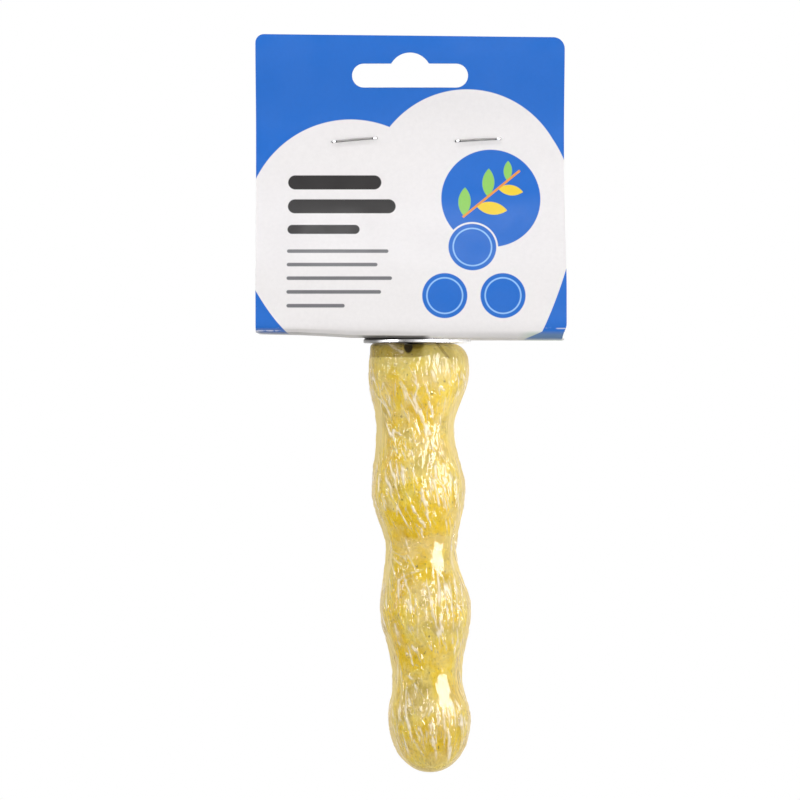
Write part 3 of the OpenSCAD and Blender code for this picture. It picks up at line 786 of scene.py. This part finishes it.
def film_folds(s, a):
    """Outward heights at depths s and angles a of the listed folds and of small random ones."""
    r = smooth_r(s, a) + FILM_OFF
    lines = [(*front_place(x0, z0), *front_place(x1, z1), w, h) for x0, z0, x1, z1, w, h in FOLDS]
    rng = np.random.RandomState(11)
    while len(lines) < len(FOLDS) + SMALL_FOLDS:
        s0, a0 = rng.uniform(5, 114), rng.uniform(-np.pi, np.pi)
        length, drift = rng.uniform(1.4, 6.5), rng.normal(0.25, 0.30)
        w, h = rng.uniform(0.17, 0.34), rng.uniform(0.05, 0.22)
        tight = 1 - float(bridge(s0)) / FILM_BRIDGE
        front = abs(wrapped(a0 - FRONT)) < 1.25
        if rng.uniform() > 0.35 + 0.65 * tight:
            continue
        lines.append((s0, a0, s0 + length, a0 + drift * length / 12, w, h * (0.9 if front else 1)))
    total = np.zeros((2, *s.shape))
    for k, (s0, a0, s1, a1, w, h) in enumerate(lines):
        rows = np.where((s[:, 0] > min(s0, s1) - 2) & (s[:, 0] < max(s0, s1) + 2))[0]
        if not len(rows):
            continue
        cut = slice(rows[0], rows[-1] + 1)
        mean_r = float(np.mean(r[cut]))
        ds, da = s1 - s0, (a1 - a0) * mean_r
        ps, pa = s[cut] - s0, wrapped(a[cut] - a0) * mean_r
        t = np.clip((ps * ds + pa * da) / (ds * ds + da * da), 0, 1)
        gap = np.hypot(ps - t * ds, pa - t * da)
        total[int(k >= len(FOLDS)), cut] += (1.35 * h * np.exp(-(gap / w) ** 2)
                                             * (1 - 0.7 * np.abs(2 * t - 1) ** 4))
    return total


def film_crinkle(s, a):
    """How crinkled the film is, from 0 in the smooth panes to 1."""
    amount = rise((s - 0.4) / 2) * (1 - tip_share(s) ** 6)
    for at, long, middle, wide, depth in PANES:
        off = np.degrees(wrapped(a - FRONT - np.radians(middle)))
        pane = np.maximum(0, 1.35 - np.hypot((s - at) / long, off / wide))
        amount = amount * (1 - depth * np.minimum(1, pane / 0.35))
    return amount


def make_film(n=300):
    """A closed skin: the crinkled outer face and a plainer inner face close to the casting."""
    points, faces, count = [], [], []
    marks = {"crinkle": [], "ridge": [], "veil": []}
    first = 0
    for depths, off, outside in ((skin_depths(248, 16, 20), FILM_OFF, True),
                                 (skin_depths(24, 6, 6), FILM_INNER, False)):
        s, a = np.broadcast_arrays(depths[:, None], skin_angles(n)[None, :])
        slid = s
        for at, reach, by in SLIPS:
            slid = slid + by * np.exp(-((s - at) / reach) ** 2)
        # The inner face has few rings, so it keeps further in where the film bridges a waist
        base = smooth_r(slid, a) + bridge(slid) * (1.0 if outside else 0.8)
        p = skin_points(s, a, base, 0)
        crinkle, ridge, move = film_crinkle(s, a), np.zeros_like(s), np.zeros_like(s)
        if outside:
            calm = rise((s - 0.3) / 2) * (1 - tip_share(s) ** 4)
            traced, small = film_folds(s, a)
            small = small * (0.25 + 0.75 * crinkle) * calm
            ridge = np.clip((traced + small) / 0.2 - 0.35, 0, 1)
            folds = traced * (0.4 + 0.6 * crinkle) * calm + small
            slow = value_noise(p / (5.0, 5.0, 9.0) + 2.2, 31) - 0.5
            quick = value_noise(p / (1.1, 1.1, 5.0) + 5.5, 33) - 0.5
            waves = (0.12 + 0.14 * crinkle) * slow + (0.02 + 0.16 * crinkle) * quick
            move = 0.5 * np.tanh(folds / 0.5) + np.maximum(waves, -0.14) * calm
        move = move - chip(p[..., 0], s, a, 1.5, 2.5, 2.3)
        skin = skin_points(s, a, np.maximum(0.2, base + off + move), off)
        hole = np.stack([FILM_HOLE_R * np.cos(a[0]), FILM_HOLE_R * np.sin(a[0]),
                         np.full(n, CAST_TOP + off)], -1)
        rings = len(depths) + 1
        points += [hole, *skin, [(*TIP[:2], TIP[2] - off)]]
        quads = ring_quads(rings, n, first)
        faces += quads if outside else [q[::-1] for q in quads]
        faces += fan(first + rings * n, first + (rings - 1) * n, n, not outside)
        count.append(len(quads) + n)
        for name, values in (("crinkle", crinkle), ("ridge", ridge),
                             ("veil", bridge(s) / FILM_BRIDGE)):
            marks[name] += [np.zeros(n), *values, [0.0]]
        last, first = first, first + rings * n + 1
    faces += [(j, (j + 1) % n, last + (j + 1) % n, last + j) for j in range(n)]
    film = add_piece("film_wrap", np.concatenate(points), faces, [FILM, FILM_INSIDE], "perch",
                     ["shrink_film"], np.repeat([0, 1, 0], count + [n]))
    for name, values in marks.items():
        mark_points(film, name, values)


# Hardware
def lathe(profile, n):
    """Closed turned part from its outline, which runs anticlockwise in radius and height."""
    points = [p for r, z in profile for p in circle(n, r, z)]
    faces = ring_quads(len(profile) + 1, n)
    count = len(profile) * n
    return points, [[i % count for i in f] for f in faces]


def rounded(corners, radii, steps=5):
    """A closed outline with its corners rounded."""
    out = []
    for i, (c, r) in enumerate(zip(corners, radii)):
        c = np.array(c, float)
        before = np.array(corners[i - 1], float) - c
        after = np.array(corners[(i + 1) % len(corners)], float) - c
        p = c + before / np.linalg.norm(before) * r
        q = c + after / np.linalg.norm(after) * r
        for t in np.linspace(0, 1, steps):
            out.append(tuple((1 - t) ** 2 * p + 2 * t * (1 - t) * c + t ** 2 * q))
    return out


def make_washer(name, z, node, rim, zinc):
    """A washer from height z upwards. Its body and its node have the same name."""
    top = z + WASHER_T
    outline = rounded([(WASHER_HOLE_R, top), (WASHER_HOLE_R, z), (WASHER_R, z), (WASHER_R, top)],
                      [0.25, 0.15, 0.2, rim])
    points, faces = lathe(outline[::-1], 160)
    add_piece(name, points, faces, [zinc], node, [node], sharp=50)


def make_bolt(n=48):
    """Rolled thread over the bolt's whole shank, and the cast-in head."""
    top = CAST_TOP - STUD_GRIP
    z, a = np.broadcast_arrays(np.arange(STUD_H, top - 1, -THREAD_PITCH / 8)[:, None],
                               angles(n)[None, :])
    turn = (z / THREAD_PITCH - a / (2 * np.pi)) % 1.0
    tooth = np.clip(2.6 * np.abs(turn - 0.5) - 0.15, 0, 1)
    r = STUD_R - THREAD_GAP - THREAD_DEPTH * (1 - tooth) * rise((z - CAST_TOP + 3) / 2)
    r = np.minimum(r, BOLT_CHAMFER_R + (STUD_H - z))
    shank = np.stack([r * np.cos(a), r * np.sin(a), z], -1).reshape(-1, 3)
    points = [*shank, (0, 0, STUD_H), (0, 0, float(z[-1, 0]))]
    faces = closed_tube(len(z), n)
    first = len(points)
    levels = [(top, 0.5), (top, 0.95), (top - 0.3, 1.0), (top - HEAD_H + 0.3, 1.0),
              (top - HEAD_H, 0.94), (top - HEAD_H, 0.4)]
    for h, scale in levels:
        points += circle(6, HEAD_R * scale, h)
    faces += ring_quads(len(levels), 6, first)
    last = first + (len(levels) - 1) * 6
    faces += [[first + k for k in range(6)], [last + k for k in range(6)][::-1]]
    add_piece("threaded_bolt", points, faces, [BOLT_STEEL], "perch",
              ["mounting_bolt"], sharp=50)


def make_wing_nut():
    """The CAD nut with the soft edges of a casting."""
    obj = shown("cast_wing_nut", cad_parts["wing_nut"].data.copy(), "wing_nut",
                ["wing_nut"])
    remesh = obj.modifiers.new("voxels", "REMESH")
    remesh.mode = "VOXEL"
    remesh.voxel_size = 0.3 * MM
    smooth = obj.modifiers.new("soft", "SMOOTH")
    smooth.iterations = 6
    smooth.factor = 0.5
    soft = obj.evaluated_get(bpy.context.evaluated_depsgraph_get())
    mesh = bpy.data.meshes.new_from_object(soft)
    obj.modifiers.clear()
    obj.data = mesh
    mesh.materials.clear()
    mesh.materials.append(ZINC)
    smooth_shaded(mesh)


def softened(line, times):
    """A polyline with its corners cut, ends kept."""
    line = np.asarray(line, float)
    for _ in range(times):
        q = line[:-1] * 0.75 + line[1:] * 0.25
        r = line[:-1] * 0.25 + line[1:] * 0.75
        line = np.concatenate([line[:1], np.stack([q, r], 1).reshape(-1, 3), line[-1:]])
    return line


def tube(line, radius, n):
    """Closed round wire along a line."""
    way = np.gradient(line, axis=0)
    way /= np.linalg.norm(way, axis=1)[:, None]
    points, up = [], np.array([0.0, 0.0, 1.0])
    for p, d in zip(line, way):
        side = np.cross(d, up)
        side /= np.linalg.norm(side)
        top = np.cross(side, d)
        for t in angles(n):
            points.append(p + radius * (cos(t) * side + sin(t) * top))
    points += [line[0] - way[0] * radius * 0.3, line[-1] + way[-1] * radius * 0.3]
    return points, closed_tube(len(line), n)


def make_staple(name, x, tilt):
    """One bent wire, its legs clinched behind the card. Its second half mirrors the first."""
    front = -LAYER_HALF - CARD_T / 2 - WIRE_D / 2 - 0.05
    back, bend = -front, 0.7
    line = [(PIN_X - CLINCH, back + 0.15, 0), (PIN_X - bend, back, 0), (PIN_X, back, 0),
            (PIN_X, back - bend, 0), (PIN_X, front + bend, 0), (PIN_X, front, 0),
            (PIN_X - bend, front, 0), (PIN_X / 3, front, 0.08)]
    line += [(-px, py, 0.05 if pz else 0) for px, py, pz in line[::-1]]
    points, faces = tube(softened(line, 3), WIRE_D / 2, 12)
    turn = Matrix.Rotation(radians(-tilt), 3, "Y")
    points = [turn @ Vector(p) + Vector((x, 0, STAPLE_Z)) for p in points]
    add_piece(name + "_wire", [tuple(p) for p in points], faces, [STAPLE_WIRE], "card",
              [name], sharp=60)


# Card
def panel_half(z):
    u = np.maximum(0, (z - TAPER_Z) / (PINCH_Z - TAPER_Z)) ** TAPER_EASE
    return TENT_HALF - (TENT_HALF - LAYER_HALF) * rise(u)


def card_lean(z):
    return LEAN * rise((z - LEAN_FROM) / (CARD_TOP - LEAN_FROM))


# The card's lower fold, outside the flat base: outward and upward from the base's edge
FOLD_CURVE = [(1.37, 3.6), (1.24, 2.7), (0.96, 1.9), (0.58, 1.1), (0.24, 0.45), (-0.1, 0.08),
              (-0.6, 0.0)]
# How far the lower fold stands above its place along the card's width
FOLD_LIFT = np.array([(-45.0, 1.50), (-32.7, 1.25), (-24.4, 0.85), (-18.8, 0.50), (-7.6, 0.45),
                      (-2.0, 0.12), (3.0, -0.10), (6.0, -0.22), (41.0, -0.26)])


def sheet_path():
    """Middle line of the folded sheet as (distance, y, z), front top to back top."""
    z = np.arange(CARD_TOP, CREASE_H + 1.8, -0.25)
    front = np.stack([-panel_half(z) - card_lean(z), z], -1)
    back = np.stack([panel_half(z) - card_lean(z), z], -1)[::-1]
    corners = [(-FLAT_HALF - h, CARD_T / 2 + v) for h, v in FOLD_CURVE]
    corners += [(-y, z) for y, z in corners[::-1]]
    line = np.concatenate([front, corners, back])
    far = np.concatenate([[0], np.cumsum(np.hypot(*np.diff(line, axis=0).T))])
    even = np.linspace(0, far[-1], int(far[-1] / 0.2))
    y, z = np.interp(even, far, line[:, 0]), np.interp(even, far, line[:, 1])
    kernel = np.exp(-np.arange(-6, 7) ** 2 / 8.0)
    kernel /= kernel.sum()

    def soft(v):
        ends = np.concatenate([2 * v[0] - v[6:0:-1], v, 2 * v[-1] - v[-2:-8:-1]])
        return np.convolve(ends, kernel, "valid")

    return even, soft(y), soft(z)


def arc(cx, cz, r, start, end, step=6):
    count = max(2, int(abs(end - start) / step) + 1)
    return [(cx + r * cos(radians(t)), cz + r * sin(radians(t)))
            for t in np.linspace(start, end, count)]


def slot_loop():
    """Outline of the hanging slot, anticlockwise from its right end, x and z."""
    mid_x, r = (CARD_LEFT + CARD_RIGHT) / 2, SLOT_H / 2
    mid_z, half = SLOT_TOP - r, SLOT_W / 2 - r
    hump = SLOT_TOP + SLOT_RISE - SLOT_RISE_R
    cross = degrees(asin((SLOT_TOP - hump) / SLOT_RISE_R))
    foot = [(x, SLOT_TOP - SLOT_H) for x in np.linspace(mid_x - half, mid_x + half, 24)[1:-1]]
    return (arc(mid_x + half, mid_z, r, -90, 90, 12)
            + arc(mid_x, hump, SLOT_RISE_R, cross, 180 - cross, 8)
            + arc(mid_x - half, mid_z, r, 90, 270, 12) + foot)


def top_z(x):
    return CARD_TOP - CARD_SKEW * (x - CARD_LEFT) / (CARD_RIGHT - CARD_LEFT)


def top_edge():
    """The card's top edge with its cut corners, from the left."""
    x0, x1 = CARD_LEFT + LEFT_CORNER_R, CARD_RIGHT - CORNER_R
    left = arc(x0, top_z(x0) - LEFT_CORNER_R, LEFT_CORNER_R, 180, 90, 9)
    right = arc(x1, top_z(x1) - CORNER_R, CORNER_R, 90, 0, 9)
    return left + [(x, top_z(x)) for x in np.arange(CARD_LEFT + 4, CARD_RIGHT - 3.5, 1.0)] + right


def inside(p, loop):
    """Which of the points p lie inside a closed loop."""
    hit = np.zeros(len(p), bool)
    for (x0, t0), (x1, t1) in zip(np.array(loop), np.roll(loop, -1, 0)):
        if t0 != t1:
            spans = (t0 > p[:, 1]) != (t1 > p[:, 1])
            hit ^= spans & (p[:, 0] < (x1 - x0) * (p[:, 1] - t0) / (t1 - t0) + x0)
    return hit


def cut_sheet(loops, length):
    """Points and triangles of a flat sheet inside the first loop and outside the others."""

    def kept(p):
        good = inside(p, loops[0])
        for loop in loops[1:]:
            good &= ~inside(p, loop)
        return good

    points, edges = [], []
    for loop in loops:
        first = len(points)
        points += loop
        edges += [(first + i, first + (i + 1) % len(loop)) for i in range(len(loop))]
    gx, gt = np.meshgrid(np.arange(CARD_LEFT + GRID_X, CARD_RIGHT - 0.4, GRID_X),
                         np.arange(0.5, length, GRID_T))
    grid = np.stack([gx.ravel(), gt.ravel()], -1)
    grid = grid[kept(grid)]
    for x, t in points:
        grid = grid[np.hypot(grid[:, 0] - x, grid[:, 1] - t) >= GRID_GAP]
    points += [tuple(g) for g in grid]
    got = delaunay_2d_cdt([Vector(p) for p in points], edges, [], 0, 1e-6)
    flat = np.array([tuple(v) for v in got[0]])
    triangles = np.array([tuple(f) for f in got[2]])
    triangles = triangles[kept(flat[triangles].mean(1))]
    a, b, c = (flat[triangles[:, k]] for k in range(3))
    area = (b[:, 0] - a[:, 0]) * (c[:, 1] - a[:, 1]) - (b[:, 1] - a[:, 1]) * (c[:, 0] - a[:, 0])
    triangles[area > 0] = triangles[area > 0][:, ::-1]
    return flat, triangles


def make_card():
    """One sheet, triangulated flat with its cuts and then folded."""
    far, py, pz = sheet_path()
    middle = far[-1] / 2

    def flat(line, back):
        """A line in x and z, laid on the flat sheet's front or back panel."""
        rows = (far < middle) != back
        order = np.argsort(pz[rows])
        return [(x, float(np.interp(z, pz[rows][order], far[rows][order]))) for x, z in line]

    front_top, back_top = flat(top_edge(), False), flat(top_edge(), True)
    side = np.arange(front_top[0][1] + 0.7, back_top[0][1] - 0.35, 0.7)
    loops = [front_top + [(CARD_RIGHT, t) for t in side] + back_top[::-1]
             + [(CARD_LEFT, t) for t in side[::-1]]]
    for back in (False, True):
        loops.append(flat(slot_loop(), back))
        loops += [flat(arc(x, z, PIN_HOLE_R, 0, 330, 30), back) for x, z in staple_spots(PIN_X)]
    loops.append([(BASE_HOLE_R * cos(t), middle + BASE_HOLE_R * sin(t))
                  for t in angles(48)])
    flat_points, triangles = cut_sheet(loops, far[-1])

    x, t = flat_points.T
    y, z = np.interp(t, far, py), np.interp(t, far, pz)
    ny = np.interp(t, far, np.gradient(pz, far))
    nz = np.interp(t, far, -np.gradient(py, far))
    size = np.hypot(ny, nz)
    ny, nz = ny / size, nz / size
    # Both panels bow inwards below the staples, and the stapled layers wave above them
    at = np.stack([x / 21.0, np.sign(t - middle) * 3.0, z / 17.0], -1)
    bow = 0.32 * value_noise(at, 51) + 0.1 * value_noise(at * 3.1, 53)
    loose = rise((np.abs(z - 53.5) - 5) / 9) * rise((z - 3) / 6)
    y = y - np.where(z < 53, np.sign(y) * bow * loose, 0)
    wave = value_noise(np.stack([x / 24.0, x * 0, z / 20.0], -1), 57) - 0.5
    wave = np.where(z > 58, 1, 0) * wave * 0.7 * rise((z - 59) / 9)
    y = y - wave * rise((CARD_TOP - z) / 6 + 0.3)
    # The lower fold's height varies, and the lower corners are drawn in
    lift = np.interp(x, *FOLD_LIFT.T) * rise((np.hypot(x, y) - 14.9) / 0.6)
    fold = z.copy()
    z = z + lift * rise((CREASE_H + 0.6 - z) / 2.6)
    x = x + 0.5 * rise((-25 - x) / 20) * rise((50 - z) / 45)
    x = x - 1.1 * rise((x - 30) / 11) * rise((3.8 - z) / 3.8) * rise((-y - 1) / 9)

    half, count = CARD_T / 2, len(flat_points)
    outer = np.stack([x, y + ny * half, z + nz * half], -1)
    inner = np.stack([x, y - ny * half, z - nz * half], -1)
    faces = [tuple(f) for f in triangles.tolist()]
    used = dict.fromkeys((f[i], f[(i + 1) % 3]) for f in faces for i in range(3))
    rims = [(u, v) for u, v in used if (v, u) not in used]
    faces += [tuple(count + i for i in f[::-1]) for f in faces]
    faces += [(v, u, count + u, count + v) for u, v in rims]
    front = flat_points[triangles].mean(1)[:, 1] < middle
    pick = np.concatenate([np.where(front, 0, 1), np.full(len(triangles) + len(rims), 2)])
    card = add_piece("folded_card", np.concatenate([outer, inner]), faces,
                     [PRINT_FRONT, PRINT_BACK, BOARD], "card", ["header_card"],
                     pick, sharp=40)
    mark_points(card, "fold", [fold + nz * half, fold - nz * half])


make_casting()
make_film()
make_washer("lower_washer", -WASHER_T, "inner_washer", 0.6, ZINC_PAINTED_RIM_LIGHT)
make_washer("upper_washer", CARD_T, "outer_washer", 0.35, ZINC)
make_bolt()
make_wing_nut()
make_card()
for staple_name, (staple_x, staple_tilt) in STAPLES.items():
    make_staple(staple_name, staple_x, staple_tilt)


# Floor, light and camera
FLOOR_Z, FLOOR_R, FLOOR_SIDES = -165.0, 345.0, 96
LIGHT_TARGET = Vector((0, 0, -0.03))
CAMERA_PLACE, CAMERA_LENS, SENSOR_WIDTH = (-0.0048, -1.0, -0.0171), 161.07, 36.0
# Name, azimuth from the camera, elevation, distance, width, height, power, shape, and which rays
# don't see it
LAMPS = [
    ("key_right", 57, -3, 1.2, 1.0, 0.9, 9.0, "RECTANGLE", "glossy"),
    ("key_shine", 55, 8, 1.2, 1.02, 1.02, 60.0, "ELLIPSE", "diffuse"),
    ("overhead", -6, 69, 1.3, 0.13, 0.13, 5.5, "RECTANGLE", None),
    ("fill_left", -58, 8, 1.3, 0.5, 0.7, 4.2, "ELLIPSE", None),
    ("low_front", -20, -24, 1.3, 0.8, 0.6, 4.3, "RECTANGLE", "glossy"),
    ("fill_shine", -58, 10, 1.3, 0.4, 0.6, 7.0, "ELLIPSE", "diffuse"),
    ("back_right", 150, 22, 1.4, 0.8, 0.8, 6.0, "RECTANGLE", "glossy"),
    ("back_left", 212, 22, 1.4, 0.8, 0.8, 6.0, "RECTANGLE", "glossy"),
]


def studio_rays(m):
    """1 for the rays that should see a white background."""
    rays = m.node("LightPath").outputs
    return m.most(*(rays[name] for name in ("Is Camera Ray", "Is Glossy Ray",
                                            "Is Transmission Ray")))


def make_floor():
    """A grey disc that fades to white at its rim and for the background's rays."""
    m = Shader("floor")
    rim = m.span(m.distance(m.place, (0, 0, 0)), 0.16, 0.34)
    white = m.out("Emission", {"Color": (1, 1, 1), "Strength": 1.0})
    lift = m.product(studio_rays(m), m.most(rim, 0.55))
    surface = m.blend(lift, m.diffuse((0.72, 0.72, 0.72)), white)
    points = [(0, 0, FLOOR_Z)] + circle(FLOOR_SIDES, FLOOR_R, FLOOR_Z)
    mesh = bpy.data.meshes.new("studio_floor")
    mesh.from_pydata((np.array(points) * MM).tolist(), [], fan(0, 1, FLOOR_SIDES, True))
    mesh.materials.append(m.finish(surface))
    shown("studio_floor", mesh)


def make_world():
    """Soft light from all round, and plain white for the background's rays."""
    m = Shader("studio", bpy.data.worlds)
    level = m.out("MapRange", {"Value": studio_rays(m), "To Min": 0.32, "To Max": 1.0})
    back = m.out("Background", {"Color": (1, 1, 1), "Strength": level})
    SCENE.world = m.finish(back, "World")


def make_lamp(name, azimuth, elevation, distance, wide, high, power, shape, unseen):
    """A soft light that aims at the middle of the part."""
    az, el = radians(azimuth), radians(elevation)
    way = Vector((sin(az) * cos(el), -cos(az) * cos(el), sin(el)))
    light = bpy.data.lights.new(name, "AREA")
    light.shape = shape
    light.size, light.size_y = wide, high
    light.energy = power
    obj = shown(name, light)
    obj.location = LIGHT_TARGET + way * distance
    obj.rotation_euler = way.to_track_quat("Z", "Y").to_euler()
    if unseen:
        setattr(obj, "visible_" + unseen, False)


def make_camera():
    camera = bpy.data.cameras.new("camera")
    camera.sensor_fit = "HORIZONTAL"
    camera.sensor_width = SENSOR_WIDTH
    camera.lens = CAMERA_LENS
    obj = shown("camera", camera)
    obj.location = CAMERA_PLACE
    obj.rotation_euler = (pi / 2, 0, 0)
    return obj


make_floor()
make_world()
for lamp in LAMPS:
    make_lamp(*lamp)
SCENE.camera = make_camera()
SCENE.view_settings.view_transform = "Standard"
